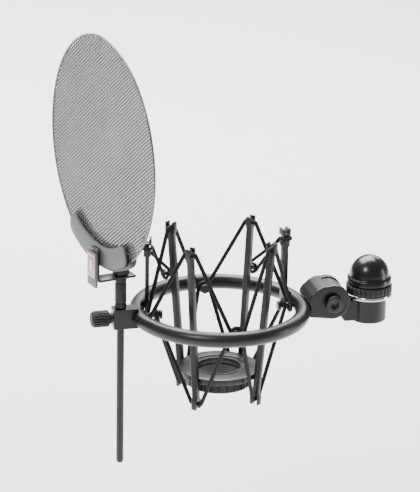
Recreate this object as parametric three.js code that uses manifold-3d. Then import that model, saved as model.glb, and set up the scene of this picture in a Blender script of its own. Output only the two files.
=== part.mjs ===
// Round metal pop filter on a sliding rod, clamped to the ring of an
// elastic-suspension microphone shock mount with a tilting stand socket.
//
// Millimetres, +Z up.  Origin: on the stand socket's axis, at the socket's
// bottom face.  +X points from the suspension ring towards the socket, so the
// screen stands on the -X side.  The microphone axis is the ring's axis.

import * as THREE from 'three';
import { mergeVertices } from 'three/addons/utils/BufferGeometryUtils.js';
import Module from 'manifold-3d';

const wasm = await Module();
wasm.setup();

// ------------------------------------------------------------ dimensions ---
const GAP = 0.3;              // air between two touching pieces

// suspension ring
const RING_X = -82.6;          // ring centre, from the socket axis
const RING_Z = 11;            // ring plane above the socket's bottom face
const RING_R = 44.2;           // centre line radius
const TUBE_R = 4.1;           // tube radius

// rod and its lug
const ROD_X = -136.6;          // rod axis
const ROD_R = 2.0;
const ROD_BOTTOM = -83;       // from the ring plane
const ROD_TOP = 25.4;
const LUG_W = 8;              // along Y
const LUG_H = 11;             // along Z

// screen
const SCREEN_YAW = 13.5 * Math.PI / 180;   // turned about the rod
const SCREEN_OFFSET = 11;     // screen plane in front of the rod axis
const SCREEN_Z = 93.6;         // disc centre above the ring plane
const HEM_R = 60.0;           // centre of the pressed hem
const HEM_W = 2.0;            // radial width of the hem
const HEM_T = 1.8;            // thickness of the hem
const MESH_T = 0.7;
const PLATE_SPAN = 60 * Math.PI / 180;     // arc of the clamp plates
const PLATE_IN = 50.4;
const PLATE_OUT = 61.5;

// cage
const STRUT_TOP_R = 31, STRUT_TOP_Z = 41;
const STRUT_BOT_R = 23, STRUT_BOT_Z = -46;
const STRUT_T = 3.0;          // thickness across the radial plane
const CORD_R = 1.1;
const PEG_R = 1.4;
const CORD_UP_R = 38.4;       // where the upper elastic lies on the pegs
const CORD_LOW_R = 35.0;      // where the lower elastic lies on the pegs
const POST_R = 38.8;          // ring posts
const POST_TOP_Z = 35;
const POST_ANGLE = 14;        // degrees behind the X axis
const BASE_Z = -35;           // cage base underside, from the ring plane
const BASE_T = 3.2;

// swivel
const HUB_X = -22.6, HUB_Z = 14, HUB_R = 9.5;
const BARREL_R = 9.6, BARREL_TOP = 20.3;

// ------------------------------------------------------------- materials ---
const mat = (color, roughness, metalness) =>
  new THREE.MeshStandardMaterial({ color, roughness, metalness });
const satinBlack = mat(0x141416, 0.38, 0.4);
const glossBlack = mat(0x0b0b0d, 0.2, 0.1);
const plasticBlack = mat(0x17171a, 0.5, 0.0);
const elasticBlack = mat(0x0e0e10, 0.85, 0.0);
const wireGrey = mat(0x9a9a9c, 0.4, 0.9);
const plateGrey = mat(0x7d7d7e, 0.45, 0.5);
const badgeRed = mat(0xb01f38, 0.3, 0.0);
const chrome = mat(0xd8d8da, 0.08, 1.0);
const steel = mat(0x8c8d90, 0.3, 1.0);
const darkSteel = mat(0x2a2a2c, 0.35, 0.9);

// --------------------------------------------------------------- helpers ---
function clean(geometry) {
  let g = geometry.clone();
  g.deleteAttribute('normal');
  g.deleteAttribute('uv');
  g = mergeVertices(g, 1e-4);
  const p = g.attributes.position, src = g.index.array, idx = [];
  for (let i = 0; i < src.length; i += 3) {
    const [a, b, c] = [src[i], src[i + 1], src[i + 2]];
    if (a !== b && b !== c && a !== c) idx.push(a, b, c);
  }
  let v = 0;
  for (let i = 0; i < idx.length; i += 3) {
    const [a, b, c] = [idx[i], idx[i + 1], idx[i + 2]];
    v += p.getX(a) * (p.getY(b) * p.getZ(c) - p.getZ(b) * p.getY(c))
       - p.getY(a) * (p.getX(b) * p.getZ(c) - p.getZ(b) * p.getX(c))
       + p.getZ(a) * (p.getX(b) * p.getY(c) - p.getY(b) * p.getX(c));
  }
  if (v < 0) for (let i = 0; i < idx.length; i += 3) {
    const t = idx[i]; idx[i] = idx[i + 1]; idx[i + 1] = t;
  }
  g.setIndex(idx);
  return g;
}
function solid(geometry) {
  const g = clean(geometry);
  return new wasm.Manifold(new wasm.Mesh({
    numProp: 3,
    vertProperties: new Float32Array(g.attributes.position.array),
    triVerts: new Uint32Array(g.index.array),
  }));
}
function shape3(manifold) {
  const m = manifold.getMesh();
  const g = new THREE.BufferGeometry();
  g.setAttribute('position', new THREE.BufferAttribute(new Float32Array(m.vertProperties), 3));
  g.setIndex(new THREE.BufferAttribute(new Uint32Array(m.triVerts), 1));
  return g;
}
const join = (...list) => list.reduce((a, b) => a.add(b));
const cut = (a, ...list) => list.reduce((x, b) => x.subtract(b), a);

// round bar along Z
function cylZ(r, z0, z1, x = 0, y = 0, seg = 24, r2 = r) {
  const g = new THREE.CylinderGeometry(r2, r, z1 - z0, seg);
  g.rotateX(Math.PI / 2);
  g.translate(x, y, (z0 + z1) / 2);
  return g;
}
// round bar along X
function cylX(r, x0, x1, y = 0, z = 0, seg = 24) {
  const g = new THREE.CylinderGeometry(r, r, x1 - x0, seg);
  g.rotateZ(-Math.PI / 2);
  g.translate((x0 + x1) / 2, y, z);
  return g;
}
// round bar along Y
function cylY(r, y0, y1, x = 0, z = 0, seg = 24) {
  const g = new THREE.CylinderGeometry(r, r, y1 - y0, seg);
  g.translate(x, (y0 + y1) / 2, z);
  return g;
}
function box(x0, x1, y0, y1, z0, z1) {
  const g = new THREE.BoxGeometry(x1 - x0, y1 - y0, z1 - z0);
  g.translate((x0 + x1) / 2, (y0 + y1) / 2, (z0 + z1) / 2);
  return g;
}
// profile of [radius, z] pairs, closed on itself or from axis to axis
function latheZ(profile, seg = 32, closed = false) {
  const pts = profile.map(([r, z]) => new THREE.Vector2(r, z));
  if (closed) pts.push(pts[0].clone());
  const g = new THREE.LatheGeometry(pts, seg);
  g.rotateX(Math.PI / 2);
  return g;
}
// outline of [u, v] pairs extruded by t, centred; u -> radial X, v -> Z, t -> Y
function slabXZ(outline, t) {
  const s = new THREE.Shape(outline.map(([u, v]) => new THREE.Vector2(u, v)));
  const g = new THREE.ExtrudeGeometry(s, { depth: t, bevelEnabled: false });
  g.translate(0, 0, -t / 2);
  g.rotateX(Math.PI / 2);
  return g;
}
// round cord through a list of points, closed loop: a torus whose
// cross sections are moved onto the corners and mitred there
function cordLoop(points, r) {
  const n = points.length, sides = 8;
  // a torus has the loop's topology; its rings are moved onto the corners
  const g = new THREE.TorusGeometry(10, 1, sides, n);
  const p = g.attributes.position;
  let up = new THREE.Vector3(0, 0, 1);
  for (let i = 0; i <= n; i++) {
    const o = points[i % n], a = points[(i + n - 1) % n], b = points[(i + 1) % n];
    const d0 = new THREE.Vector3().subVectors(o, a).normalize();
    const d1 = new THREE.Vector3().subVectors(b, o).normalize();
    const t = new THREE.Vector3().addVectors(d0, d1).normalize();
    const stretch = 1 / Math.max(0.6, t.dot(d1));
    const bend = new THREE.Vector3().subVectors(d1, d0);
    // fixed reference: away from the loop's own axis, so the tube never twists
    const ref = new THREE.Vector3(o.x - loopCentre(points).x, o.y - loopCentre(points).y, 0).normalize();
    const v = ref.sub(t.clone().multiplyScalar(ref.dot(t))).normalize();
    const w = new THREE.Vector3().crossVectors(t, v);
    const bn = bend.length() > 1e-6 ? bend.clone().normalize() : v.clone();
    for (let j = 0; j <= sides; j++) {
      const k = 2 * Math.PI * j / sides;
      const off = v.clone().multiplyScalar(r * Math.cos(k)).addScaledVector(w, r * Math.sin(k));
      const along = off.dot(bn);
      off.addScaledVector(bn, along * (stretch - 1));
      p.setXYZ(j * (n + 1) + i, o.x + off.x, o.y + off.y, o.z + off.z);
    }
  }
  return g;
}
const loopCentre = (points) => points.reduce((a, b) => a.clone().add(b)).multiplyScalar(1 / points.length);
// toothed outline for a knurled grip
function knurled(rOut, depth, teeth) {
  const pts = [];
  for (let i = 0; i < teeth; i++) {
    for (const [f, r] of [[0, rOut], [0.5, rOut], [0.62, rOut - depth], [0.88, rOut - depth]]) {
      const a = (i + f) / teeth * 2 * Math.PI;
      pts.push(new THREE.Vector2(r * Math.cos(a), r * Math.sin(a)));
    }
  }
  return pts;
}
function prismZ(points, z0, z1) {
  const g = new THREE.ExtrudeGeometry(new THREE.Shape(points), { depth: z1 - z0, bevelEnabled: false });
  g.translate(0, 0, z0);
  return g;
}

const root = new THREE.Group();
function add(group, name, manifoldOrGeometry, material) {
  const g = manifoldOrGeometry.isBufferGeometry ? clean(manifoldOrGeometry) : shape3(manifoldOrGeometry);
  const m = new THREE.Mesh(g, material);
  m.name = name;
  group.add(m);
  return m;
}

// ------------------------------------------------------ swivel and socket ---
const swivel = new THREE.Group();
root.add(swivel);
{
  const barrel = latheZ([[8.5, 0], [BARREL_R - 0.3, 0], [BARREL_R, 0.4], [BARREL_R, BARREL_TOP],
    [2.9, BARREL_TOP], [2.9, 17], [8.5, 17]], 32, true);
  const tongue = join(
    solid(cylY(9.0, -5, 5, HUB_X, HUB_Z, 32)),
    solid(slabXZ([[-18, 6], [-14.5, 0.8], [-7, 0.8], [-7, 12.9], [-18, 12.9]], 10)));
  const bore = solid(cylZ(9.0, -1, 17.2, 0, 0, 32));
  add(swivel, 'socket_body', cut(
    join(solid(barrel), cut(tongue, bore)),
    solid(cylY(3.3, -6, 6, HUB_X, HUB_Z, 20))), satinBlack);

  // threaded sleeve pressed into the socket
  add(swivel, 'thread_insert', latheZ([[7.3, 0.6], [7.7, 0.2], [8.2, 0.2], [8.2, 16.4],
    [7.3, 16.4]], 32, true), steel);

  // tilt bolt with hexagon socket, and its nut
  const head = join(solid(cylY(4.7, -13.0, -9.9, HUB_X, HUB_Z, 24)),
    solid(cylY(3.0, -10.2, 12.6, HUB_X, HUB_Z, 20)));
  add(swivel, 'tilt_bolt', cut(head, solid(cylY(2.3, -14, -11.2, HUB_X, HUB_Z, 6))), darkSteel);
  add(swivel, 'tilt_nut', cut(solid(cylY(5.4, 9.8, 12.9, HUB_X, HUB_Z, 6)),
    solid(cylY(3.3, 9, 14, HUB_X, HUB_Z, 20))), darkSteel);

  // locking collar and its bright trim ring, turning on the barrel
  add(swivel, 'collar_trim', latheZ([[9.95, 13.6], [12.2, 13.6], [12.8, 14.2], [12.8, 15.2],
    [12.3, 15.7], [9.95, 15.7]], 40, true), chrome);
  add(swivel, 'lock_collar', cut(solid(prismZ(knurled(12.4, 0.5, 28), 16.0, 20.2)),
    solid(cylZ(9.95, 15, 21, 0, 0, 32))), plasticBlack);

  // domed clamping knob with its stud
  const dome = [[0, 20.6], [11.3, 20.6], [11.9, 21.2], [11.9, 24.2], [11.2, 24.8]];
  for (let i = 1; i <= 7; i++) {
    const a = i / 8 * Math.PI / 2;
    dome.push([10.7 * Math.cos(a), 24.8 + 11.2 * Math.sin(a)]);
  }
  dome.push([0, 36]);
  add(swivel, 'dome_knob', cut(solid(latheZ(dome, 28)), solid(cylZ(2.8, 20, 28, 0, 0, 20))), glossBlack);
  add(swivel, 'knob_stud', cylZ(2.5, 13, 27.7, 0, 0, 20), steel);
}

// ---------------------------------------------------------- ring and neck ---
const ring = new THREE.Group();
ring.position.set(RING_X, 0, RING_Z);
root.add(ring);
const torus = (r, tube, ts = 10, rs = 56) => new THREE.TorusGeometry(r, tube, ts, rs);
const ringCutter = solid(torus(RING_R, TUBE_R + GAP + 0.1, 12, 72));
{
  add(ring, 'outer_ring', torus(RING_R, TUBE_R), satinBlack);

  // neck: two ears round the tongue, running down to a saddle on the ring
  const hx = HUB_X - RING_X, hz = HUB_Z - RING_Z;      // hub in the ring's frame
  const outline = [[46.4, -4.4], [46.4, 5.4], [48.0, 7.6], [51.5, 10.6], [54.5, 12.1]];
  for (let i = 0; i <= 14; i++) {
    const a = (105 - i * 15) * Math.PI / 180;
    outline.push([hx + HUB_R * Math.cos(a), hz + HUB_R * Math.sin(a)]);
  }
  outline.push([54.0, -5.6], [49.0, -5.0]);
  const neckBody = solid(slabXZ(outline, 19));
  const slot = join(solid(cylY(9.6, -5.4, 5.4, hx, hz, 40)),
    solid(box(hx, hx + 15, -5.4, 5.4, hz - 9.6, hz + 9.6)));
  add(ring, 'neck', cut(neckBody, slot, solid(cylY(3.35, -12, 12, hx, hz, 20)), ringCutter), satinBlack);

  // pegs that hold the elastics
  for (const [name, deg] of [['elastic_peg_left', 180], ['elastic_peg_front', -90],
    ['elastic_peg_right', 0], ['elastic_peg_back', 90]]) {
    const peg = join(solid(cylX(PEG_R, 32.8, 42, 0, 0, 12)), solid(cylX(2.5, 31.6, 33.2, 0, 0, 16)));
    const m = add(ring, name, cut(peg, solid(torus(RING_R, TUBE_R + GAP, 16, 120))), satinBlack);
    m.rotation.z = deg * Math.PI / 180;
  }

  // forked posts on the ring
  for (const [name, deg] of [['ring_post_left', 180 - POST_ANGLE], ['ring_post_right', POST_ANGLE]]) {
    const r = POST_R, z = POST_TOP_Z;
    const o = [[r - 1.1, -4], [r + 3.4, -4], [r + 3.4, 4], [r + 1.1, 6], [r + 1.1, z - 5],
      [r + 1.9, z - 4.4], [r + 1.9, z - 1.7], [r + 1.1, z - 1.4], [r + 1.1, z + 1.4],
      [r + 2.4, z + 1.8], [r + 2.4, z + 5.2], [r + 1.0, z + 5.2], [r + 1.0, z + 2.6],
      [r - 1.0, z + 2.6], [r - 1.0, z + 5.2], [r - 2.4, z + 5.2], [r - 2.4, z + 1.8],
      [r - 1.1, z + 1.4], [r - 1.1, z - 1.4], [r - 1.9, z - 1.7], [r - 1.9, z - 4.4], [r - 1.1, z - 5]];
    const m = add(ring, name, cut(solid(slabXZ(o, 4.6)), solid(torus(RING_R, TUBE_R + GAP, 16, 120))), satinBlack);
    m.rotation.z = deg * Math.PI / 180;
  }

  // rod lug with its cross bore for the thumbscrew
  const rx = ROD_X - RING_X;
  add(ring, 'rod_lug', cut(
    join(solid(box(rx - 4.4, rx + 9.0, -LUG_W / 2, LUG_W / 2, -LUG_H / 2, LUG_H / 2))),
    ringCutter,
    solid(cylZ(ROD_R + 0.35, -10, 10, rx, 0, 24)),
    solid(cylX(1.85, rx - 8, rx, 0, 0, 20))), satinBlack);
}

// ------------------------------------------------------- thumbscrew and pad ---
{
  const g = new THREE.Group();
  g.position.set(ROD_X, 0, RING_Z);
  root.add(g);
  const tip = -(ROD_R + GAP);                 // pad face next to the rod
  add(g, 'clamp_pad', cylX(1.5, tip - 1.0, tip, 0, 0, 16), steel);
  const knob = prismZ(knurled(4.5, 0.35, 20), 0, 8.2);
  knob.rotateY(-Math.PI / 2);
  knob.translate(-6.4, 0, 0);
  const nose = latheZ([[0, 0], [3.4, 0], [4.2, -0.8], [4.2, -1.4], [0, -1.4]], 24);
  nose.rotateY(-Math.PI / 2);
  nose.translate(-15.6, 0, 0);
  add(g, 'thumbscrew_knob', cut(join(solid(knob), solid(nose), solid(cylX(2.9, -6.8, -5.0, 0, 0, 20))),
    solid(cylX(1.8, -12, -4, 0, 0, 16))), plasticBlack);
  add(g, 'thumbscrew_shank', cylX(1.5, -11.7, tip - 1.0 - GAP, 0, 0, 16), steel);
}

// ------------------------------------------------------------- rod and sleeve ---
{
  const g = new THREE.Group();
  g.position.set(ROD_X, 0, RING_Z);
  root.add(g);
  add(g, 'slide_rod', latheZ([[0, ROD_BOTTOM], [1.0, ROD_BOTTOM + 0.3], [1.7, ROD_BOTTOM + 1.0],
    [ROD_R, ROD_BOTTOM + 2.2], [ROD_R, ROD_TOP - 0.4], [ROD_R - 0.4, ROD_TOP], [0, ROD_TOP]], 20), satinBlack);
  add(g, 'rod_sleeve', latheZ([[ROD_R + GAP, 6.0], [2.9, 6.0], [3.1, 6.4], [3.1, 22.0], [2.9, 22.4],
    [ROD_R + GAP, 22.4]], 24, true), plasticBlack);
}

// --------------------------------------------------- bracket, plates, screen ---
// In this group x runs along the screen's normal towards the microphone,
// y lies in the screen, and the rod's axis is x = y = 0.
const head = new THREE.Group();
head.position.set(ROD_X, 0, RING_Z);
head.rotation.z = SCREEN_YAW;
root.add(head);
{
  const sx = -SCREEN_OFFSET;
  const STRIP_Z = 22.8;                        // underside of the strip
  const legX0 = sx - 4.6, legX1 = sx - 3.2;    // upright leg of the bracket
  const screwZ = SCREEN_Z - 55.4, screwY = 2.3;
  const thruScrews = (r, x0, x1) => join(
    solid(cylX(r, x0, x1, -screwY, screwZ, 14)), solid(cylX(r, x0, x1, screwY, screwZ, 14)));

  // bent strip: upright leg behind the badge, foot under the rod head
  const L = [[legX0, STRIP_Z], [6.6, STRIP_Z], [7.2, STRIP_Z + 0.5], [7.2, STRIP_Z + 1.4],
    [legX1 + 1.2, STRIP_Z + 1.4], [legX1, STRIP_Z + 2.6], [legX1, STRIP_Z + 18.6], [legX0, STRIP_Z + 18.6]];
  L[0] = [legX0 + 1.2, STRIP_Z];
  L.unshift([legX0, STRIP_Z + 1.2]);
  add(head, 'bracket_strip', cut(solid(slabXZ(L, 8.4)),
    solid(cylZ(ROD_R + 0.35, STRIP_Z - 2, STRIP_Z + 4, 0, 0, 24)), thruScrews(1.5, legX0 - 1, legX1 + 1)), satinBlack);

  // rod head block and its cap screw
  add(head, 'rod_head', cut(solid(box(-3.5, 3.5, -3.5, 3.5, STRIP_Z + 1.7, STRIP_Z + 9.2)),
    solid(cylZ(ROD_R + 0.35, STRIP_Z, ROD_TOP + 0.4, 0, 0, 24)),
    solid(cylZ(1.5, STRIP_Z, STRIP_Z + 12, 0, 0, 16))), plasticBlack);
  add(head, 'head_screw', cut(join(
    solid(latheZ([[0, STRIP_Z + 9.5], [2.6, STRIP_Z + 9.5], [2.6, STRIP_Z + 10.4], [1.8, STRIP_Z + 11.2], [0, STRIP_Z + 11.2]], 20)),
    solid(cylZ(1.2, ROD_TOP + 0.7, STRIP_Z + 9.8, 0, 0, 14))),
    solid(cylZ(1.0, STRIP_Z + 10.2, STRIP_Z + 12, 0, 0, 6))), darkSteel);

  // wire mesh disc, closed by a pressed hem
  const meshDisc = cylX(HEM_R - HEM_W / 2 - GAP, sx - MESH_T / 2, sx + MESH_T / 2, 0, SCREEN_Z, 60);
  const endA = PLATE_SPAN / 2 - 0.1;
  const endScrews = (r, x0, x1) => join(...[-1, 1].map((s) => solid(cylX(r, x0, x1,
    s * 56 * Math.sin(endA), SCREEN_Z - 56 * Math.cos(endA), 14))));
  add(head, 'screen_mesh', cut(solid(meshDisc), thruScrews(1.6, sx - 2, sx + 2), endScrews(1.6, sx - 2, sx + 2)), wireGrey);
  const hem = latheZ([[HEM_R - HEM_W / 2, -HEM_T / 2], [HEM_R + HEM_W / 2 - 0.6, -HEM_T / 2],
    [HEM_R + HEM_W / 2, 0], [HEM_R + HEM_W / 2 - 0.6, HEM_T / 2],
    [HEM_R - HEM_W / 2, HEM_T / 2]], 60, true);
  hem.rotateY(Math.PI / 2);
  hem.translate(sx, 0, SCREEN_Z);
  add(head, 'screen_hem', hem, wireGrey);

  // arc plates; u = y, v = z in the screen's plane
  const arcPlate = (rIn, rOut, half, x0, x1) => {
    const pts = [], n = 18, w = (rOut - rIn) / 2, rm = (rOut + rIn) / 2, low = -Math.PI / 2;
    for (let i = 0; i <= n; i++) {
      const a = low - half + 2 * half * i / n;
      pts.push([rOut * Math.cos(a), rOut * Math.sin(a)]);
    }
    for (let i = 1; i < 8; i++) {             // round right end
      const a = low + half, t = Math.PI * i / 8;
      const cx = rm * Math.cos(a), cy = rm * Math.sin(a);
      pts.push([cx + w * Math.cos(a + t), cy + w * Math.sin(a + t)]);
    }
    for (let i = n; i >= 0; i--) {
      const a = low - half + 2 * half * i / n;
      pts.push([rIn * Math.cos(a), rIn * Math.sin(a)]);
    }
    for (let i = 1; i < 8; i++) {             // round left end
      const a = low - half, t = Math.PI + Math.PI * i / 8;
      const cx = rm * Math.cos(a), cy = rm * Math.sin(a);
      pts.push([cx + w * Math.cos(a + t), cy + w * Math.sin(a + t)]);
    }
    const s = new THREE.Shape(pts.map(([u, v]) => new THREE.Vector2(u, v)));
    const g = new THREE.ExtrudeGeometry(s, { depth: x1 - x0, bevelEnabled: false });
    g.rotateX(Math.PI / 2);                   // u -> x, v -> z, depth -> -y
    g.rotateZ(Math.PI / 2);                   // x -> y, -y -> x
    g.translate(x0, 0, SCREEN_Z);
    return g;
  };
  const half = PLATE_SPAN / 2;
  const fx0 = sx - 2.9, fx1 = sx - 1.5;
  add(head, 'front_clamp_plate', cut(solid(arcPlate(PLATE_IN, PLATE_OUT, half, fx0, fx1)),
    thruScrews(1.5, fx0 - 1, fx1 + 1), endScrews(1.5, fx0 + 0.6, fx1 + 1)), plateGrey);
  // rear plate: a back wall with a lip that wraps the hem
  const rx0 = sx + 1.2, rx1 = sx + 2.6;
  const back = solid(arcPlate(PLATE_IN - 0.8, PLATE_OUT + 1.2, half + 0.03, sx - 1.2, rx1));
  const pocket = solid(cylX(HEM_R + HEM_W / 2 + GAP, sx - 3, rx0, 0, SCREEN_Z, 60));
  add(head, 'rear_clamp_plate', cut(back, pocket, thruScrews(1.5, sx, rx1 + 1), endScrews(1.5, sx, rx1 + 1)), satinBlack);

  // screws: two through the leg with nuts behind, two from behind at the ends
  for (const [name, s] of [['leg_screw_left', -1], ['leg_screw_right', 1]]) {
    add(head, name, join(solid(cylX(1.2, legX0 + 0.35, rx1 + 2.2, s * screwY, screwZ, 12)),
      solid(cylX(1.35, legX0 + 0.05, legX0 + 0.6, s * screwY, screwZ, 12))), steel);
  }
  for (const [name, s] of [['leg_nut_left', -1], ['leg_nut_right', 1]]) {
    add(head, name, cut(solid(cylX(2.1, rx1 + GAP, rx1 + 1.9, s * screwY, screwZ, 6)),
      solid(cylX(1.5, rx1, rx1 + 3, s * screwY, screwZ, 12))), steel);
  }
  for (const [name, s] of [['end_screw_left', -1], ['end_screw_right', 1]]) {
    const y = s * 56 * Math.sin(endA), z = SCREEN_Z - 56 * Math.cos(endA);
    add(head, name, cut(join(solid(cylX(1.2, fx0 + 0.9, rx1 + 0.8, y, z, 12)),
      solid(cylX(2.3, rx1 + GAP, rx1 + 1.6, y, z, 16))), solid(cylX(0.9, rx1 + 0.8, rx1 + 3, y, z, 6))), darkSteel);
  }

  // plain enamel badge over the leg
  const bz0 = SCREEN_Z - 73.2, bz1 = SCREEN_Z - 54.4;
  const b = 5.4, c = 0.9;
  const badge = new THREE.ExtrudeGeometry(new THREE.Shape([
    [-b, bz0 + c], [-b + c, bz0], [b - c, bz0], [b, bz0 + c],
    [b, bz1 - c], [b - c, bz1], [-b + c, bz1], [-b, bz1 - c]].map(([u, v]) => new THREE.Vector2(u, v))),
  { depth: 1.3, bevelEnabled: false });
  badge.rotateX(Math.PI / 2);
  badge.rotateZ(Math.PI / 2);
  badge.translate(legX0 - GAP - 1.3, 0, 0);
  add(head, 'badge', badge, badgeRed);
}

// ------------------------------------------------------------------- cage ---
const cage = new THREE.Group();
cage.position.set(RING_X, 0, RING_Z);
root.add(cage);
const strutAngles = { strut_front_left: -135, strut_front_right: -45, strut_back_right: 45, strut_back_left: 135 };
const SIDE_PEG_Z = 14, SIDE_PEG_CORD_R = 33.6;
const slope = (STRUT_TOP_R - STRUT_BOT_R) / (STRUT_TOP_Z - STRUT_BOT_Z);
const strutR = (z) => STRUT_BOT_R + slope * (z - STRUT_BOT_Z);
const strutOutline = () => {
  const [tr, tz, br, bz] = [STRUT_TOP_R, STRUT_TOP_Z, STRUT_BOT_R, STRUT_BOT_Z];
  const w = 1.8, n = 1.4, f = 2.9;
  return [
    [strutR(bz + 4) + w, bz + 4], [strutR(tz - 4) + w, tz - 4], [tr + f, tz - 2.2], [tr + f, tz + 2.4],
    [tr + f - 0.6, tz + 3], [tr + n, tz + 3], [tr + n, tz - n], [tr - n, tz - n], [tr - n, tz + 3],
    [tr - f + 0.6, tz + 3], [tr - f, tz + 2.4], [tr - f, tz - 2.2], [strutR(tz - 4) - w, tz - 4],
    [strutR(bz + 4) - w, bz + 4], [br - f, bz + 2.2], [br - f, bz - 2.4], [br - f + 0.6, bz - 3],
    [br - n, bz - 3], [br - n, bz + n], [br + n, bz + n], [br + n, bz - 3], [br + f - 0.6, bz - 3],
    [br + f, bz - 2.4], [br + f, bz + 2.2]];
};
{
  for (const [name, deg] of Object.entries(strutAngles)) {
    let s = solid(slabXZ(strutOutline(), STRUT_T));
    if (name.includes('back')) {               // side peg for the ring post's elastic
      s = join(s, solid(cylX(1.2, 27, 35.6, 0, SIDE_PEG_Z, 12)), solid(cylX(2.1, 35.0, 36.2, 0, SIDE_PEG_Z, 14)));
    }
    const m = add(cage, name, s, satinBlack);
    m.rotation.z = deg * Math.PI / 180;
  }
  add(cage, 'cage_base', latheZ([[11.6, BASE_Z], [21.3, BASE_Z], [21.9, BASE_Z + 0.6],
    [21.9, BASE_Z + BASE_T - 0.6], [21.3, BASE_Z + BASE_T], [11.6, BASE_Z + BASE_T]], 48, true), satinBlack);
  // ring nut that holds the microphone's threaded foot
  add(cage, 'retaining_nut', cut(
    join(solid(prismZ(knurled(17.6, 0.7, 24), BASE_Z - 6.3, BASE_Z - 1.4)),
      solid(cylZ(15.5, BASE_Z - 1.8, BASE_Z - GAP, 0, 0, 36))),
    solid(cylZ(11.0, BASE_Z - 8, BASE_Z + 1, 0, 0, 36))), plasticBlack);
}

// --------------------------------------------------------------- elastics ---
const polar = (r, deg, t, z) => {              // radius, direction, sideways, height
  const a = deg * Math.PI / 180;
  return new THREE.Vector3(r * Math.cos(a) - t * Math.sin(a), r * Math.sin(a) + t * Math.cos(a), z);
};
{
  const loop = (rPeg, sign, tipR, tipZ) => {
    const pts = [];
    for (let q = 0; q < 4; q++) {
      const hook = q * 90, tip = q * 90 + 45;
      // round the peg: under it for the upper elastic (sign -1), over it for the lower
      for (const d of [-10, 40, 90, 140, 190].reverse()) {
        const a = d * Math.PI / 180;
        pts.push(polar(rPeg, hook, 3.12 * Math.cos(a), sign * 3.12 * Math.sin(a)));
      }
      pts.push(polar(tipR, tip, -2.95, tipZ), polar(tipR, tip, 2.95, tipZ));
    }
    return pts;
  };
  add(cage, 'upper_elastic', cordLoop(loop(CORD_UP_R, -1, STRUT_TOP_R, STRUT_TOP_Z), CORD_R), elasticBlack);
  add(cage, 'lower_elastic', cordLoop(loop(CORD_LOW_R, 1, STRUT_BOT_R, STRUT_BOT_Z), CORD_R), elasticBlack);

  // short loops round the ring posts' necks and the back struts' side pegs
  for (const [name, postDeg, strutDeg, u] of [['side_elastic_left', 180 - POST_ANGLE, 135, 1],
    ['side_elastic_right', POST_ANGLE, 45, -1]]) {
    const pts = [[2.6, -3.1], [2.5, 2.3], [1.2, 3.7], [-1.2, 3.7], [-2.5, 2.3], [-2.5, -1.0]].map(
      ([dr, t]) => polar(POST_R + dr, postDeg, u * t, POST_TOP_Z));
    for (const d of [-45, -90, -135, -180, -225]) {
      const a = d * Math.PI / 180;
      pts.push(polar(SIDE_PEG_CORD_R, strutDeg, u * 2.8 * Math.cos(a), SIDE_PEG_Z + 2.8 * Math.sin(a)));
    }
    add(cage, name, cordLoop(pts, 0.95), elasticBlack);
  }
}

export default root;
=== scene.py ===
import math
import random

import bmesh
import bpy
from mathutils import Matrix, Vector, noise


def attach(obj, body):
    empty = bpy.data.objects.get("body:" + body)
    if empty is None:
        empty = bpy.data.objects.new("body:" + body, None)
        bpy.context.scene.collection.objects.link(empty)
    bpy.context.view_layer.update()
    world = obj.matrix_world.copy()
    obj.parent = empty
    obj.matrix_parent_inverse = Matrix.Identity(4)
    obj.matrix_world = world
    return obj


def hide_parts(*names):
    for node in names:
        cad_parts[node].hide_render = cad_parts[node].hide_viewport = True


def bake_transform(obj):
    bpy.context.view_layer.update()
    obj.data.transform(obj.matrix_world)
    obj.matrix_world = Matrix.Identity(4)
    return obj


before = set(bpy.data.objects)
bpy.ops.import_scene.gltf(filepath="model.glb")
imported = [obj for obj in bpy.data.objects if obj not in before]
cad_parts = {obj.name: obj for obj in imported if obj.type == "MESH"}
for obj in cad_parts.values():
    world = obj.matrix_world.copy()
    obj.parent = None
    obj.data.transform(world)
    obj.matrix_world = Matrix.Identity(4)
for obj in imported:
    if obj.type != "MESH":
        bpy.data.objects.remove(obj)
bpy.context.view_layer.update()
random.seed(11)

# ---------------------------------------------------------------- dimensions
# metres, the same numbers as the solids
RX, RZ = -0.0826, 0.011           # suspension ring's centre
RING_R, TUBE_R = 0.0442, 0.0041
ROD_X = -0.1366
YAW = math.radians(13.5)
SCREEN_OFF = 0.011
SCREEN_Z = 0.0936
HEAD = Matrix.Translation((ROD_X, 0, RZ)) @ Matrix.Rotation(YAW, 4, "Z")
RING = Matrix.Translation((RX, 0, RZ))
MM = 0.001


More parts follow.
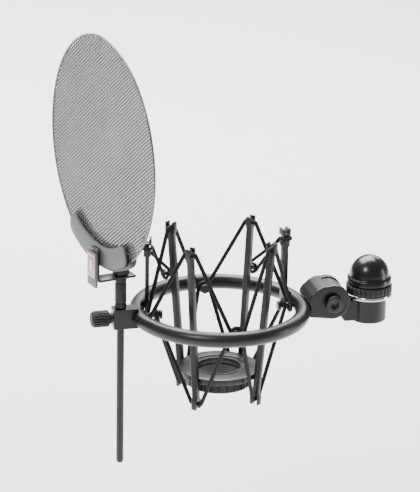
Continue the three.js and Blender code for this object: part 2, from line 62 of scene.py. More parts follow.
# ----------------------------------------------------------------- materials
class Nodes:
    """Small helper that adds nodes to a material."""

    def __init__(self, name, **shader):
        self.mat = bpy.data.materials.new(name)
        self.mat.use_nodes = True
        self.t = self.mat.node_tree
        self.bsdf = self.t.nodes["Principled BSDF"]
        for key, value in shader.items():
            self.bsdf.inputs[key.replace("_", " ")].default_value = value

    def add(self, kind, **props):
        n = self.t.nodes.new(kind)
        for k, v in props.items():
            if k.startswith("in_"):
                n.inputs[k[3:].replace("_", " ")].default_value = v
            else:
                setattr(n, k, v)
        return n

    def link(self, a, b):
        self.t.links.new(a, b)

    def coords(self, scale=(1, 1, 1)):
        c = self.add("ShaderNodeTexCoord")
        m = self.add("ShaderNodeMapping")
        m.inputs["Scale"].default_value = scale
        self.link(c.outputs["Object"], m.inputs["Vector"])
        return m.outputs["Vector"]

    def noise(self, scale, detail=4, rough=0.55, vec=None):
        n = self.add("ShaderNodeTexNoise", in_Scale=scale, in_Detail=detail, in_Roughness=rough)
        self.link(vec if vec is not None else self.coords(), n.inputs["Vector"])
        return n.outputs["Fac"]

    def ramp(self, fac, stops):
        r = self.add("ShaderNodeValToRGB")
        e = r.color_ramp.elements
        while len(e) < len(stops):
            e.new(0.5)
        for el, (pos, col) in zip(e, stops):
            el.position = pos
            el.color = (*col, 1) if len(col) == 3 else col
        self.link(fac, r.inputs["Fac"])
        return r.outputs["Color"]

    def remap(self, fac, lo, hi, a=0.3, b=0.7):
        m = self.add("ShaderNodeMapRange")
        m.inputs["From Min"].default_value, m.inputs["From Max"].default_value = a, b
        m.inputs["To Min"].default_value, m.inputs["To Max"].default_value = lo, hi
        self.link(fac, m.inputs["Value"])
        return m.outputs["Result"]

    def mix(self, fac, a, b):
        m = self.add("ShaderNodeMix", data_type="RGBA")
        self.link(fac, m.inputs[0])
        for sock, v in ((m.inputs[6], a), (m.inputs[7], b)):
            if isinstance(v, tuple):
                sock.default_value = (*v, 1)
            else:
                self.link(v, sock)
        return m.outputs[2]

    def bump(self, height, strength, distance):
        b = self.add("ShaderNodeBump")
        b.inputs["Strength"].default_value = strength
        b.inputs["Distance"].default_value = distance
        self.link(height, b.inputs["Height"])
        self.link(b.outputs["Normal"], self.bsdf.inputs["Normal"])
        return b

    def edge(self, lo=0.505, hi=0.56):
        """1 on convex edges, from the mesh's own curvature."""
        g = self.add("ShaderNodeNewGeometry")
        return self.remap(g.outputs["Pointiness"], 0.0, 1.0, lo, hi)

    def base(self, socket):
        self.link(socket, self.bsdf.inputs["Base Color"])

    def rough(self, socket):
        self.link(socket, self.bsdf.inputs["Roughness"])


def satin_black():
    n = Nodes("satin_black_paint", Metallic=0.0, Coat_Weight=0.10, Coat_Roughness=0.22)
    n.bsdf.inputs["Specular IOR Level"].default_value = 0.42
    fine, broad = n.noise(2600, 3), n.noise(90, 5)
    tone = n.ramp(broad, [(0.25, (0.0040, 0.0040, 0.0048)), (0.8, (0.0095, 0.0095, 0.0108))])
    worn = n.mix(n.edge(), tone, (0.030, 0.030, 0.033))
    n.base(worn)
    n.rough(n.remap(broad, 0.30, 0.42))
    n.bump(fine, 0.22, 0.00006)
    return n.mat


def gloss_black():
    n = Nodes("gloss_black_plastic", Coat_Weight=0.25, Coat_Roughness=0.16)
    n.bsdf.inputs["Specular IOR Level"].default_value = 0.45
    broad, smear = n.noise(60, 4), n.noise(420, 6, 0.7)
    n.base(n.ramp(broad, [(0.2, (0.0035, 0.0035, 0.0042)), (0.9, (0.0080, 0.0080, 0.0092))]))
    n.rough(n.remap(smear, 0.22, 0.34))
    n.bump(broad, 0.06, 0.0004)
    return n.mat


def matte_black():
    n = Nodes("matte_black_plastic")
    n.bsdf.inputs["Specular IOR Level"].default_value = 0.36
    v = n.add("ShaderNodeTexVoronoi", in_Scale=2200.0)
    n.link(n.coords(), v.inputs["Vector"])
    broad = n.noise(120, 5)
    tone = n.ramp(broad, [(0.25, (0.0050, 0.0050, 0.0056)), (0.85, (0.0120, 0.0120, 0.0130))])
    n.base(n.mix(n.edge(), tone, (0.038, 0.038, 0.040)))
    n.rough(n.remap(broad, 0.42, 0.58))
    n.bump(v.outputs["Distance"], 0.3, 0.00008)
    return n.mat


def elastic():
    n = Nodes("black_elastic", Sheen_Weight=0.05, Sheen_Roughness=0.5)
    n.bsdf.inputs["Specular IOR Level"].default_value = 0.22
    uv = n.add("ShaderNodeTexCoord")
    waves = []
    for tilt in (1.0, -1.0):
        m = n.add("ShaderNodeMapping")
        m.inputs["Rotation"].default_value = (0, 0, tilt * math.radians(38))
        n.link(uv.outputs["UV"], m.inputs["Vector"])
        w = n.add("ShaderNodeTexWave", wave_type="BANDS", bands_direction="X", in_Scale=2.2,
                  in_Distortion=0.4, in_Detail=1.0)
        n.link(m.outputs["Vector"], w.inputs["Vector"])
        waves.append(w.outputs["Fac"])
    mx = n.add("ShaderNodeMath", operation="MAXIMUM")
    n.link(waves[0], mx.inputs[0])
    n.link(waves[1], mx.inputs[1])
    # painted shade: the base colour follows the braid's relief, darker in the grooves between the strands and lighter
    # on their crowns
    n.base(n.ramp(mx.outputs[0], [(0.1, (0.0025, 0.0025, 0.0030)), (0.95, (0.0140, 0.0140, 0.0155))]))
    n.rough(n.remap(mx.outputs[0], 0.75, 0.55, 0.0, 1.0))
    n.bump(mx.outputs[0], 0.8, 0.00015)
    return n.mat


def wire():
    n = Nodes("wire_mesh", Metallic=1.0)
    broad, streak = n.noise(45, 4), n.noise(900, 3)
    n.base(n.ramp(broad, [(0.2, (0.15, 0.15, 0.155)), (0.8, (0.24, 0.24, 0.245))]))
    n.rough(n.remap(streak, 0.28, 0.46))
    n.bump(streak, 0.15, 0.00003)
    return n.mat


def grey_plate():
    n = Nodes("grey_clamp_paint", Metallic=0.0, Coat_Weight=0.06, Coat_Roughness=0.35)
    fine, broad = n.noise(3000, 3), n.noise(70, 4)
    tone = n.ramp(broad, [(0.2, (0.088, 0.088, 0.090)), (0.85, (0.118, 0.118, 0.120))])
    speck = n.ramp(n.noise(5200, 2), [(0.62, (0, 0, 0)), (0.70, (1, 1, 1))])
    n.base(n.mix(speck, tone, (0.165, 0.165, 0.170)))
    n.rough(n.remap(broad, 0.42, 0.52))
    n.bump(fine, 0.2, 0.00005)
    return n.mat


def enamel(name, lo, hi):
    n = Nodes(name, Coat_Weight=0.8, Coat_Roughness=0.05)
    broad, ripple = n.noise(160, 3), n.noise(700, 2)
    n.base(n.ramp(broad, [(0.2, lo), (0.85, hi)]))
    n.rough(n.remap(ripple, 0.22, 0.34))
    n.bump(ripple, 0.1, 0.00005)
    return n.mat


def bright(name, lo, hi, r0, r1, streak=(1, 1, 1)):
    n = Nodes(name, Metallic=1.0)
    broad = n.noise(80, 4)
    fine = n.noise(1500, 3, vec=n.coords(streak))
    n.base(n.ramp(broad, [(0.2, lo), (0.85, hi)]))
    n.rough(n.remap(fine, r0, r1))
    n.bump(fine, 0.12, 0.00003)
    return n.mat


M = {
    "satin_black_paint": satin_black(),
    "gloss_black_plastic": gloss_black(),
    "matte_black_plastic": matte_black(),
    "black_elastic": elastic(),
    "wire_mesh": wire(),
    "grey_clamp_paint": grey_plate(),
    "red_enamel": enamel("red_enamel", (0.30, 0.006, 0.018), (0.40, 0.010, 0.026)),
    "white_enamel": enamel("white_enamel", (0.72, 0.70, 0.70), (0.84, 0.83, 0.83)),
    "bright_chrome": bright("bright_chrome", (0.74, 0.74, 0.76), (0.88, 0.88, 0.90), 0.05, 0.12),
    "zinc_steel": bright("zinc_steel", (0.36, 0.36, 0.38), (0.52, 0.52, 0.54), 0.26, 0.40, (1, 1, 4)),
    "black_steel": bright("black_steel", (0.030, 0.030, 0.034), (0.075, 0.075, 0.082), 0.30, 0.46),
}


# ---------------------------------------------------------------- mesh tools
def to_object(name, bm, matrix=None):
    me = bpy.data.meshes.new(name)
    bm.to_mesh(me)
    bm.free()
    ob = bpy.data.objects.new(name, me)
    bpy.context.scene.collection.objects.link(ob)
    if matrix is not None:
        me.transform(matrix)
    return ob


def bake(ob, angle=32):
    """Applies the modifiers and shades smooth with sharp edges kept."""
    if ob.modifiers:
        deps = bpy.context.evaluated_depsgraph_get()
        me = bpy.data.meshes.new_from_object(ob.evaluated_get(deps))
        old = ob.data
        ob.modifiers.clear()
        ob.data = me
        bpy.data.meshes.remove(old)
    me = ob.data
    me.polygons.foreach_set("use_smooth", [True] * len(me.polygons))
    me.set_sharp_from_angle(angle=math.radians(angle))
    return ob


def bevel(ob, width, segments=3, angle=30):
    m = ob.modifiers.new("bevel", "BEVEL")
    m.width, m.segments, m.limit_method, m.angle_limit = width, segments, "ANGLE", math.radians(angle)
    m.use_clamp_overlap = True
    m.harden_normals = False
    return ob


def place(ob, material, body, nodes=()):
    ob.data.materials.clear()
    ob.data.materials.append(M[material])
    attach(ob, body)
    if nodes:
        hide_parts(*([nodes] if isinstance(nodes, str) else nodes))
    return ob


def lathe(name, profile, seg=64, matrix=None, closed=True, modulate=None):
    """Solid of revolution about Z. profile is [(radius, z)], modulate(k, i, r) may change the radius."""
    bm = bmesh.new()
    rows = []
    for i, (r, z) in enumerate(profile):
        if r < 1e-7:
            rows.append([bm.verts.new((0, 0, z))])
            continue
        row = []
        for k in range(seg):
            a = 2 * math.pi * k / seg
            q = modulate(k, i, r) if modulate else r
            row.append(bm.verts.new((q * math.cos(a), q * math.sin(a), z)))
        rows.append(row)
    pairs = list(zip(rows, rows[1:]))
    if closed and len(rows[0]) > 1 and len(rows[-1]) > 1:
        pairs.append((rows[-1], rows[0]))
    for a, b in pairs:
        for k in range(seg):
            j = (k + 1) % seg
            if len(a) == 1 and len(b) == 1:
                continue
            if len(a) == 1:
                bm.faces.new((a[0], b[j], b[k]))
            elif len(b) == 1:
                bm.faces.new((a[k], a[j], b[0]))
            else:
                bm.faces.new((a[k], a[j], b[j], b[k]))
    bmesh.ops.recalc_face_normals(bm, faces=bm.faces)
    return to_object(name, bm, matrix)


def rounded(profile, radius, n=4):
    """Rounds the corners of a closed or axis-to-axis profile of (r, z)."""
    out = []
    count = len(profile)
    for i, p in enumerate(profile):
        p = Vector(p)
        a, b = Vector(profile[i - 1]), Vector(profile[(i + 1) % count])
        if p.x < 1e-7:
            out.append((p.x, p.y))
            continue
        da, db = a - p, b - p
        r = min(radius, 0.45 * da.length, 0.45 * db.length)
        if r < 1e-6:
            out.append((p.x, p.y))
            continue
        s, e = p + da.normalized() * r, p + db.normalized() * r
        for k in range(n + 1):
            t = k / n
            q = s * (1 - t) ** 2 + p * 2 * t * (1 - t) + e * t * t
            out.append((q.x, q.y))
    return out


def prism(name, outline, t0, t1, matrix=None):
    """Outline [(u, v)] in XY, from z = t0 to t1."""
    bm = bmesh.new()
    low = [bm.verts.new((u, v, t0)) for u, v in outline]
    high = [bm.verts.new((u, v, t1)) for u, v in outline]
    bm.faces.new(low[::-1])
    bm.faces.new(high)
    n = len(outline)
    for i in range(n):
        j = (i + 1) % n
        bm.faces.new((low[i], low[j], high[j], high[i]))
    bmesh.ops.recalc_face_normals(bm, faces=bm.faces)
    return to_object(name, bm, matrix)


def refine(node, width, matrix=None, dissolve=True, segments=3):
    """A finer copy of a CAD node: flat faces merged, edges rounded."""
    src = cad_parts[node]
    ob = bpy.data.objects.new("fine_" + node, src.data.copy())
    bpy.context.scene.collection.objects.link(ob)
    bm = bmesh.new()
    bm.from_mesh(ob.data)
    bmesh.ops.remove_doubles(bm, verts=bm.verts, dist=2e-6)
    if dissolve:
        bmesh.ops.dissolve_limit(bm, angle_limit=math.radians(1.0), verts=bm.verts, edges=bm.edges)
    bm.to_mesh(ob.data)
    bm.free()
    bevel(ob, width, segments)
    return bake(ob)


def cast(node, voxel, smooth):
    """A casting: the CAD shape remeshed and softened, so that its edges and fillets run together."""
    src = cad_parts[node]
    ob = bpy.data.objects.new("cast_" + node, src.data.copy())
    bpy.context.scene.collection.objects.link(ob)
    m = ob.modifiers.new("remesh", "REMESH")
    m.mode, m.voxel_size = "VOXEL", voxel
    s = ob.modifiers.new("soften", "CORRECTIVE_SMOOTH")
    s.factor, s.iterations, s.use_only_smooth = 0.6, smooth, False
    s.rest_source = "ORCO"
    ob.modifiers.remove(s)
    s = ob.modifiers.new("soften", "SMOOTH")
    s.factor, s.iterations = 0.55, smooth
    bake(ob, 60)
    return ob


def hexagon(r, cx=0.0, cy=0.0, turn=0.0):
    return [(cx + r * math.cos(math.radians(60 * i + turn)), cy + r * math.sin(math.radians(60 * i + turn)))
            for i in range(6)]


AXIS_Y = Matrix.Rotation(math.radians(-90), 4, "X")     # local Z -> world Y
AXIS_X = Matrix.Rotation(math.radians(90), 4, "Y")      # local Z -> world X


# --------------------------------------------------------------- camera first
def look_at(target, azimuth, elevation, roll, distance, lens):
    az, el = math.radians(azimuth), math.radians(elevation)
    view = Vector((-math.sin(az) * math.cos(el), math.cos(az) * math.cos(el), -math.sin(el)))
    cam = bpy.data.objects.new("camera", bpy.data.cameras.new("camera"))
    bpy.context.scene.collection.objects.link(cam)
    cam.location = Vector(target) - view * distance
    q = view.to_track_quat("-Z", "Y")
    cam.rotation_euler = (q.to_matrix().to_4x4() @ Matrix.Rotation(math.radians(roll), 4, "Z")).to_euler()
    cam.data.lens = lens
    cam.data.sensor_width = 36
    cam.data.clip_start = 0.05
    bpy.context.scene.camera = cam
    return cam


look_at((-0.0885, 0.0, 0.0475), -14.3, 19.6, 0.9, 1.60, 222.0)


# ---------------------------------------------------------------- the screen
def wire_cloth(name, radius, pitch, radii, sides=5):
    """Two sets of crossing wires, each passing over and under the other; the cloth is cut on the bias."""
    bm = bmesh.new()
    n = int(radius / pitch)
    c, s = math.cos(math.radians(54)), math.sin(math.radians(54))
    lift_r = (radii[0] + radii[1]) / 2
    for family in (0, 1):
        wire_r = radii[family]
        for i in range(-n, n + 1):
            off = i * pitch
            half = math.sqrt(max(0.0, radius ** 2 - off ** 2))
            first = math.ceil(-half / pitch)
            last = math.floor(half / pitch)
            if last - first < 2:
                continue
            pts = [(-half, 0.0)]
            for k in range(first, last + 1):
                if abs(k * pitch + half) < 0.25 * pitch or abs(k * pitch - half) < 0.25 * pitch:
                    continue
                pts.append((k * pitch, lift_r * 1.04 * (1 if (i + k + family) % 2 else -1)))
            pts.append((half, 0.0))
            rings = []
            for along, lift in pts:
                wob = 0.03 * pitch * noise.noise(Vector((along * 90, off * 90, family * 7.0)))
                row = []
                for q in range(sides):
                    a = 2 * math.pi * (q + 0.5) / sides
                    p, h = off + wob + wire_r * math.cos(a), lift + wire_r * math.sin(a)
                    u, v = (along, p) if family == 0 else (p, along)
                    row.append(bm.verts.new((h, u * c - v * s, u * s + v * c)))
                rings.append(row)
            for a, b in zip(rings, rings[1:]):
                for q in range(sides):
                    w = (q + 1) % sides
                    f = (a[q], b[q], b[w], a[w])
                    bm.faces.new(f if family == 0 else f[::-1])
            bm.faces.new(rings[0] if family == 0 else rings[0][::-1])
            bm.faces.new(rings[-1][::-1] if family == 0 else rings[-1])
    ob = to_object(name, bm, HEAD @ Matrix.Translation((-SCREEN_OFF, 0, SCREEN_Z)))
    ob.data.polygons.foreach_set("use_smooth", [True] * len(ob.data.polygons))
    return ob


place(wire_cloth("woven_screen", 0.0603, 0.00158, (0.00025, 0.00042)), "wire_mesh", "screen", "screen_mesh")

# pressed hem: a folded strip, thin on the inside edge
hem = lathe("pressed_hem", rounded([(0.0600, -0.00045), (0.0607, -0.0006), (0.0610, -0.0003), (0.0610, 0.0003),
                                    (0.0607, 0.0006), (0.0600, 0.00045)], 0.0003, 3), 144)
hem.data.transform(HEAD @ Matrix.Translation((-SCREEN_OFF, 0, SCREEN_Z)) @ AXIS_X)
bake(hem, 60)
place(hem, "wire_mesh", "screen", "screen_hem")


def arc_outline(r_in, r_out, half, n=48, cap=14):
    """Arc band with round ends, centred on the lowest point of the disc: (y, z) from the disc's centre."""
    pts, low = [], -math.pi / 2
    w, rm = (r_out - r_in) / 2, (r_out + r_in) / 2
    for i in range(n + 1):
        a = low - half + 2 * half * i / n
        pts.append((r_out * math.cos(a), r_out * math.sin(a)))
    for i in range(1, cap):
        a, t = low + half, math.pi * i / cap
        pts.append((rm * math.cos(a) + w * math.cos(a + t), rm * math.sin(a) + w * math.sin(a + t)))
    for i in range(n, -1, -1):
        a = low - half + 2 * half * i / n
        pts.append((r_in * math.cos(a), r_in * math.sin(a)))
    for i in range(1, cap):
        a, t = low - half, math.pi + math.pi * i / cap
        pts.append((rm * math.cos(a) + w * math.cos(a + t), rm * math.sin(a) + w * math.sin(a + t)))
    return pts


# plane of the disc: local X -> head's y, local Y -> head's z, local Z -> head's x
FACE = HEAD @ Matrix(((0, 0, 1, 0), (1, 0, 0, 0), (0, 1, 0, 0), (0, 0, 0, 1)))
SX = -SCREEN_OFF
half = math.radians(30)
front = prism("front_arc", [(u, v + SCREEN_Z) for u, v in arc_outline(0.0504, 0.0615, half)], SX - 0.0029, SX - 0.0015, FACE)
bevel(front, 0.00045, 4)
place(bake(front), "grey_clamp_paint", "screen", "front_clamp_plate")

rear = refine("rear_clamp_plate", 0.00022, segments=2)
place(rear, "satin_black_paint", "screen", "rear_clamp_plate")

# bent strip with a real bend radius
def strip_outline(x0, x1, z0, z1, t, r):
    pts = []
    for k in range(9):
        a = math.pi + math.pi / 2 * k / 8
        pts.append((x0 + r + r * math.cos(a), z0 + r + r * math.sin(a)))
    for k in range(7):
        a = -math.pi / 2 + math.pi * k / 6
        pts.append((x1 - t / 2 + t / 2 * math.cos(a), z0 + t / 2 + t / 2 * math.sin(a)))
    ri = max(r - t, 0.0003)
    for k in range(9):
        a = -math.pi / 2 - math.pi / 2 * k / 8
        pts.append((x0 + t + ri + ri * math.cos(a), z0 + t + ri + ri * math.sin(a)))
    for k in range(7):
        a = math.pi * k / 6
        pts.append((x0 + t / 2 + t / 2 * math.cos(a), z1 - t / 2 + t / 2 * math.sin(a)))
    return pts


# local X -> head x, local Y -> head z, local Z -> head -y
SIDE = HEAD @ Matrix(((1, 0, 0, 0), (0, 0, -1, 0), (0, 1, 0, 0), (0, 0, 0, 1)))
strip = prism("bent_strip", strip_outline(SX - 0.0046, 0.0072, 0.0228, 0.0414, 0.0014, 0.0022), -0.0042, 0.0042, SIDE)
bevel(strip, 0.0003, 2, 40)
place(bake(strip), "satin_black_paint", "screen", "bracket_strip")

# rod head: a block with generous radii
def block(name, hx, hy, z0, z1, r, matrix):
    out = []
    for cx, cy, a0 in ((hx - r, hy - r, 0), (-hx + r, hy - r, 90), (-hx + r, -hy + r, 180), (hx - r, -hy + r, 270)):
        for k in range(7):
            a = math.radians(a0 + 90 * k / 6)
            out.append((cx + r * math.cos(a), cy + r * math.sin(a)))
    return prism(name, out, z0, z1, matrix)


rod_head = block("head_block", 0.0035, 0.0035, 0.0245, 0.0320, 0.0009, HEAD)
bevel(rod_head, 0.0005, 3)
place(bake(rod_head), "matte_black_plastic", "screen", "rod_head")
place(refine("head_screw", 0.00012, segments=2), "black_steel", "screen", "head_screw")
for side in ("left", "right"):
    place(refine("leg_screw_" + side, 0.00008, segments=2), "zinc_steel", "screen", "leg_screw_" + side)
    place(refine("leg_nut_" + side, 0.00018, segments=2), "zinc_steel", "screen", "leg_nut_" + side)
    place(refine("end_screw_" + side, 0.00012, segments=2), "black_steel", "screen", "end_screw_" + side)


# badge: grey painted tray with red enamel and a plain white inlay line
def plate_outline(b, z0, z1, r, n=6):
    pts = []
    for cx, cz, a0 in ((b - r, z1 - r, 0), (-b + r, z1 - r, 90), (-b + r, z0 + r, 180), (b - r, z0 + r, 270)):
        for k in range(n + 1):
            a = math.radians(a0 + 90 * k / n)
            pts.append((cx + r * math.cos(a), cz + r * math.sin(a)))
    return pts


def frame_strip(name, outer, inner, t0, t1, matrix):
    """Closed band between two outlines with the same number of points."""
    bm = bmesh.new()
    loops = [[bm.verts.new((u, v, t)) for u, v in o] for o, t in ((outer, t0), (outer, t1), (inner, t1), (inner, t0))]
    n = len(outer)
    for a, b in zip(loops, loops[1:] + loops[:1]):
        for i in range(n):
            j = (i + 1) % n
            bm.faces.new((a[i], a[j], b[j], b[i]))
    bmesh.ops.recalc_face_normals(bm, faces=bm.faces)
    return to_object(name, bm, matrix)


BX = SX - 0.0046 - 0.0003
bz0, bz1 = SCREEN_Z - 0.0732, SCREEN_Z - 0.0544
HB = 0.0054
tray = prism("badge_tray", plate_outline(HB, bz0, bz1, 0.0011), BX - 0.0010, BX, FACE)
bevel(tray, 0.00015, 2)
place(bake(tray), "grey_clamp_paint", "screen", "badge")
rz0, rz1 = bz1 - 0.0139, bz1 - 0.0004
field = prism("badge_enamel", plate_outline(HB - 0.0005, rz0, rz1, 0.0009), BX - 0.00130, BX - 0.00098, FACE)
bevel(field, 0.00014, 3)
place(bake(field), "red_enamel", "screen")
inlay = frame_strip("badge_inlay", plate_outline(HB - 0.0015, rz0 + 0.0011, rz1 - 0.0011, 0.0011),
                    plate_outline(HB - 0.0021, rz0 + 0.0017, rz1 - 0.0017, 0.0007), BX - 0.00138, BX - 0.00120, FACE)
place(bake(inlay), "white_enamel", "screen")
bar = prism("badge_inlay_bar", plate_outline(0.0013, rz0 + 0.0036, rz1 - 0.0036, 0.0009), BX - 0.00138, BX - 0.00120, FACE)
bevel(bar, 0.00006, 2)
place(bake(bar), "white_enamel", "screen")

# ------------------------------------------------------------ rod and sleeve
rod = lathe("slide_rod_fine", rounded([(0, -0.083), (0.0016, -0.083), (0.0020, -0.0815), (0.0020, 0.0250),
                                       (0.0017, 0.0254), (0, 0.0254)], 0.0006, 4), 40,
            Matrix.Translation((ROD_X, 0, RZ)))
place(bake(rod), "satin_black_paint", "rod", "slide_rod")
prof = [(0.0023, 0.0060), (0.0031, 0.0060), (0.0031, 0.0078), (0.00285, 0.0081), (0.00285, 0.0086), (0.0031, 0.0089),
        (0.0031, 0.0195), (0.00285, 0.0198), (0.00285, 0.0203), (0.0031, 0.0206), (0.0031, 0.0224), (0.0023, 0.0224)]
sleeve = lathe("sleeve_fine", rounded(prof, 0.0002, 2), 48, Matrix.Translation((ROD_X, 0, RZ)))
place(bake(sleeve), "matte_black_plastic", "rod", "rod_sleeve")

# ---------------------------------------------------------------- thumbscrew
TS = Matrix.Translation((ROD_X, 0, RZ)) @ Matrix.Rotation(math.radians(-90), 4, "Y")   # local Z -> -X


def knurl(teeth, seg, depth, rows):
    def f(k, i, r):
        if i not in rows:
            return r
        ph = (k * teeth / seg) % 1.0
        return r - depth * (0.5 + 0.5 * math.cos(2 * math.pi * ph)) ** 3
    return f


prof = [(0.0018, 0.0048), (0.0029, 0.0048), (0.0029, 0.0064), (0.0040, 0.0064), (0.0045, 0.0069)]
k0 = len(prof)
prof += [(0.0045, 0.0069 + (0.0071 * j / 6)) for j in range(1, 6)]
prof += [(0.0045, 0.0140), (0.0043, 0.0147), (0.0039, 0.0154), (0.0032, 0.0159), (0.0028, 0.01600), (0.0026, 0.01575),
         (0.0, 0.0157)]
prof += [(0.0, 0.0115), (0.0018, 0.0115)]
prof = [p for p in prof if p[0] > 0 or p[1] > 0.0157 - 1e-9]
knob = lathe("thumbscrew_grip", [(0.0, 0.0118), (0.0018, 0.0118)] + prof, 160, TS, closed=False,
             modulate=knurl(20, 160, 0.00045, set(range(k0 + 1, k0 + 9))))
place(bake(knob, 50), "matte_black_plastic", "thumbscrew", "thumbscrew_knob")
place(refine("thumbscrew_shank", 0.0001), "zinc_steel", "thumbscrew", "thumbscrew_shank")
place(refine("clamp_pad", 0.0001), "zinc_steel", "clamp", "clamp_pad")

# ---------------------------------------------------------------------- ring
bm = bmesh.new()
U, V = 200, 28
grid = []
for i in range(U):
    a = 2 * math.pi * i / U
    row = []
    for j in range(V):
        b = 2 * math.pi * j / V
        r = RING_R + TUBE_R * math.cos(b)
        row.append(bm.verts.new((r * math.cos(a), r * math.sin(a), TUBE_R * math.sin(b))))
    grid.append(row)
for i in range(U):
    for j in range(V):
        k, m = (i + 1) % U, (j + 1) % V
        bm.faces.new((grid[i][j], grid[k][j], grid[k][m], grid[i][m]))
ring = to_object("ring_tube", bm, RING)
place(bake(ring), "satin_black_paint", "ring", "outer_ring")

place(cast("neck", 0.00034, 6), "satin_black_paint", "ring", "neck")
place(cast("rod_lug", 0.00022, 5), "satin_black_paint", "ring", "rod_lug")
for name, deg in (("left", 180), ("front", -90), ("right", 0), ("back", 90)):
    peg = lathe("peg_" + name, rounded([(0, 0.0316), (0.0025, 0.0316), (0.0025, 0.0332), (0.0014, 0.0334),
                                        (0.0014, 0.0402), (0.0, 0.0402)], 0.0004, 4), 32,
                RING @ Matrix.Rotation(math.radians(deg), 4, "Z") @ AXIS_X)
    place(bake(peg), "satin_black_paint", "ring", "elastic_peg_" + name)
for side in ("left", "right"):
    place(refine("ring_post_" + side, 0.00035), "satin_black_paint", "ring", "ring_post_" + side)

# ---------------------------------------------------------------------- cage
for n in ("front_left", "front_right", "back_right", "back_left"):
    place(refine("strut_" + n, 0.0004), "satin_black_paint", "cage", "strut_" + n)
zb = -0.035
base = lathe("cage_plate", rounded([(0.0116, zb), (0.0219, zb), (0.0219, zb + 0.0032), (0.0150, zb + 0.0032),
                                    (0.0150, zb + 0.0027), (0.0125, zb + 0.0027), (0.0125, zb + 0.0032),
                                    (0.0116, zb + 0.0032)], 0.0005, 3), 96, RING)
place(bake(base), "satin_black_paint", "cage", "cage_base")
prof = [(0.0110, zb - 0.0063), (0.0168, zb - 0.0063), (0.0176, zb - 0.0058)]
k0 = len(prof)
prof += [(0.0176, zb - 0.0058 + 0.0038 * j / 4) for j in range(1, 4)]
prof += [(0.0176, zb - 0.0020), (0.0168, zb - 0.0015), (0.0155, zb - 0.0013), (0.0155, zb - 0.0003), (0.0110, zb - 0.0003)]
nut = lathe("retaining_ring_nut", prof, 240, RING, modulate=knurl(24, 240, 0.0008, set(range(k0 - 1, k0 + 4))))
place(bake(nut, 50), "matte_black_plastic", "nut", "retaining_nut")


# ------------------------------------------------------------------ elastics
def polar(r, deg, t, z):
    a = math.radians(deg)
    return Vector((r * math.cos(a) - t * math.sin(a), r * math.sin(a) + t * math.cos(a), z))


def soften_loop(points, cut, n=5, step=0.0016):
    """Rounds each corner of a closed path and fills its straight runs."""
    out = []
    count = len(points)
    for i, p in enumerate(points):
        a, b = points[i - 1], points[(i + 1) % count]
        da, db = a - p, b - p
        s = p + da.normalized() * min(cut, 0.48 * da.length)
        e = p + db.normalized() * min(cut, 0.48 * db.length)
        for k in range(n + 1):
            t = k / n
            out.append(s * (1 - t) ** 2 + p * 2 * t * (1 - t) + e * t * t)
        nxt = b + (p - b).normalized() * min(cut, 0.48 * db.length)
        run = (nxt - e).length
        m = int(run / step)
        for k in range(1, m):
            out.append(e.lerp(nxt, k / m))
    return out


def cord(name, points, r, matrix, sides=12):
    """Closed braided cord: eight strands raised a little along two helices."""
    n = len(points)
    centre = sum(points, Vector()) / n
    bm = bmesh.new()
    uv = bm.loops.layers.uv.new("UVMap")
    rings, dist, total = [], [0.0], 0.0
    for i in range(n):
        total += (points[(i + 1) % n] - points[i]).length
        dist.append(total)
    turns = round(total / 0.0060)
    for i in range(n):
        o, t = points[i], (points[(i + 1) % n] - points[i - 1]).normalized()
        ref = Vector((o.x - centre.x, o.y - centre.y, 0)).normalized()
        v = (ref - t * ref.dot(t)).normalized()
        w = t.cross(v)
        ph = 2 * math.pi * turns * dist[i] / total
        row = []
        for q in range(sides):
            a = 2 * math.pi * q / sides
            ridge = 0.5 * (math.cos(4 * a + ph) ** 2 + math.cos(4 * a - ph) ** 2)
            rr = r * (0.965 + 0.035 * ridge)
            row.append(bm.verts.new(o + v * (rr * math.cos(a)) + w * (rr * math.sin(a))))
        rings.append(row)
    for i in range(n):
        j = (i + 1) % n
        for q in range(sides):
            w = (q + 1) % sides
            f = bm.faces.new((rings[i][q], rings[i][w], rings[j][w], rings[j][q]))
            us = (q / sides, (q + 1) / sides, (q + 1) / sides, q / sides)
            vs = (dist[i], dist[i], dist[i + 1], dist[i + 1])
            for lp, uu, vv in zip(f.loops, us, vs):
                lp[uv].uv = (uu * 3.0, vv / (2 * math.pi * r) * 3.0)
    bmesh.ops.recalc_face_normals(bm, faces=bm.faces)
    ob = to_object(name, bm, matrix)
    ob.data.polygons.foreach_set("use_smooth", [True] * len(ob.data.polygons))
    return ob


def elastic_path(r_peg, sign, tip_r, tip_z):
    pts = []
    for q in range(4):
        for d in (190, 140, 90, 40, -10):
            a = math.radians(d)
            pts.append(polar(r_peg, q * 90, 0.00312 * math.cos(a), sign * 0.00312 * math.sin(a)))
        pts.append(polar(tip_r, q * 90 + 45, -0.00295, tip_z))
        pts.append(polar(tip_r, q * 90 + 45, 0.00295, tip_z))
    return pts


def stretchy(ob, node):
    ob.data.materials.append(M["black_elastic"])
    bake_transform(ob)
    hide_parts(node)


stretchy(cord("upper_cord", soften_loop(elastic_path(0.0384, -1, 0.031, 0.041), 0.0011), 0.0011, RING),
         "upper_elastic")
stretchy(cord("lower_cord", soften_loop(elastic_path(0.0350, 1, 0.023, -0.046), 0.0011), 0.0011, RING),
         "lower_elastic")
for name, pd, sd, u in (("left", 166, 135, 1), ("right", 14, 45, -1)):
    pts = [polar(0.0388 + dr, pd, u * t, 0.035) for dr, t in
           ((0.0026, -0.0031), (0.0025, 0.0023), (0.0012, 0.0037), (-0.0012, 0.0037), (-0.0025, 0.0023), (-0.0025, -0.0010))]
    for d in (-45, -90, -135, -180, -225):
        a = math.radians(d)
        pts.append(polar(0.0336, sd, u * 0.0028 * math.cos(a), 0.014 + 0.0028 * math.sin(a)))
    stretchy(cord("side_cord_" + name, soften_loop(pts, 0.0009), 0.00095, RING, 10),
             "side_elastic_" + name)

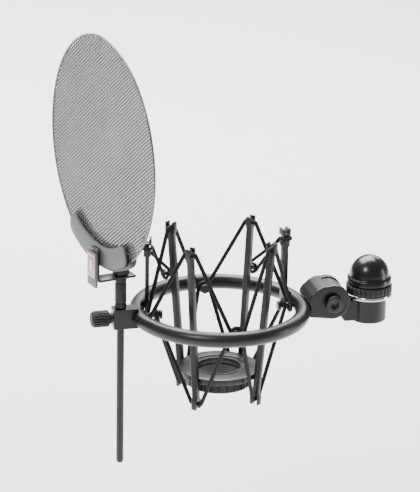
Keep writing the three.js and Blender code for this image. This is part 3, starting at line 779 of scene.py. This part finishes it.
# -------------------------------------------------------------------- swivel
place(cast("socket_body", 0.00036, 5), "satin_black_paint", "swivel", "socket_body")
prof = [(0.0082, 0.0002), (0.0082, 0.0164), (0.00745, 0.0164)]
z = 0.0160
while z > 0.0012:
    prof += [(0.00745, z), (0.00705 + 0.00035, z - 0.00024), (0.00745, z - 0.00048)]
    z -= 0.00094
prof += [(0.0076, 0.0004), (0.0078, 0.0002)]
insert = lathe("threaded_sleeve", prof, 64)
place(bake(insert), "zinc_steel", "swivel", "thread_insert")
place(refine("tilt_bolt", 0.0004), "black_steel", "swivel", "tilt_bolt")
place(refine("tilt_nut", 0.0004), "black_steel", "swivel", "tilt_nut")

trim = lathe("trim_ring", rounded([(0.00995, 0.0136), (0.0124, 0.0136), (0.0128, 0.0144), (0.0123, 0.0157),
                                   (0.00995, 0.0157)], 0.0005, 4), 96)
place(bake(trim, 50), "bright_chrome", "collar", "collar_trim")
prof = [(0.00995, 0.0160), (0.0119, 0.0160), (0.0124, 0.0164)]
k0 = len(prof)
prof += [(0.0124, 0.0164 + 0.0033 * j / 4) for j in range(1, 4)]
prof += [(0.0124, 0.0197), (0.0119, 0.0202), (0.00995, 0.0202)]
collar = lathe("knurled_collar", prof, 224, modulate=knurl(28, 224, 0.0005, set(range(k0 - 1, k0 + 4))))
place(bake(collar, 50), "matte_black_plastic", "collar", "lock_collar")

dome_prof = [(0.0, 0.0206), (0.0112, 0.0206), (0.0119, 0.0212), (0.0119, 0.0236), (0.0116, 0.0241), (0.0109, 0.0245), (0.0107, 0.0248)]
for i in range(1, 16):
    a = i / 16 * math.pi / 2
    dome_prof.append((0.0107 * math.cos(a), 0.0248 + 0.0112 * math.sin(a)))
dome_prof.append((0.0, 0.0360))
dome = lathe("domed_knob", dome_prof, 96, closed=False)
place(bake(dome, 40), "gloss_black_plastic", "dome", "dome_knob")
place(refine("knob_stud", 0.0003), "zinc_steel", "dome", "knob_stud")


# --------------------------------------------------------------------- stage
def stage_material(name, lo, hi, rough):
    n = Nodes(name, Roughness=rough)
    n.base(n.ramp(n.noise(3.0, 3), [(0.3, lo), (0.7, hi)]))
    return n.mat


bm = bmesh.new()
for x, y in ((-6, -6), (6, -6), (6, 6), (-6, 6)):
    bm.verts.new((x, y, -0.22))
bm.faces.new(bm.verts)
floor = to_object("floor", bm)
floor.data.materials.append(stage_material("floor_white", (0.90, 0.90, 0.90), (0.92, 0.92, 0.92), 0.95))


def area(name, location, target, size, power, size_y=None):
    light = bpy.data.lights.new(name, "AREA")
    light.energy, light.size = power, size
    if size_y:
        light.shape, light.size_y = "RECTANGLE", size_y
    ob = bpy.data.objects.new(name, light)
    ob.location = location
    ob.rotation_euler = (Vector(target) - Vector(location)).to_track_quat("-Z", "Y").to_euler()
    bpy.context.scene.collection.objects.link(ob)
    return ob


mid = (-0.08, 0, 0.03)
area("key", (-0.75, -0.65, 0.90), mid, 0.32, 7.0)
area("side", (0.85, -0.25, 0.05), mid, 0.22, 2.2, 0.6)
area("rim", (0.55, 0.95, 0.55), mid, 0.5, 4.0)
area("floor_wash", (-0.1, 1.1, 1.4), (-0.1, 0.9, -0.22), 1.6, 135.0)
world = bpy.data.worlds.new("studio")
world.use_nodes = True
world.node_tree.nodes["Background"].inputs["Color"].default_value = (1, 1, 1, 1)
world.node_tree.nodes["Background"].inputs["Strength"].default_value = 0.33
bpy.context.scene.world = world
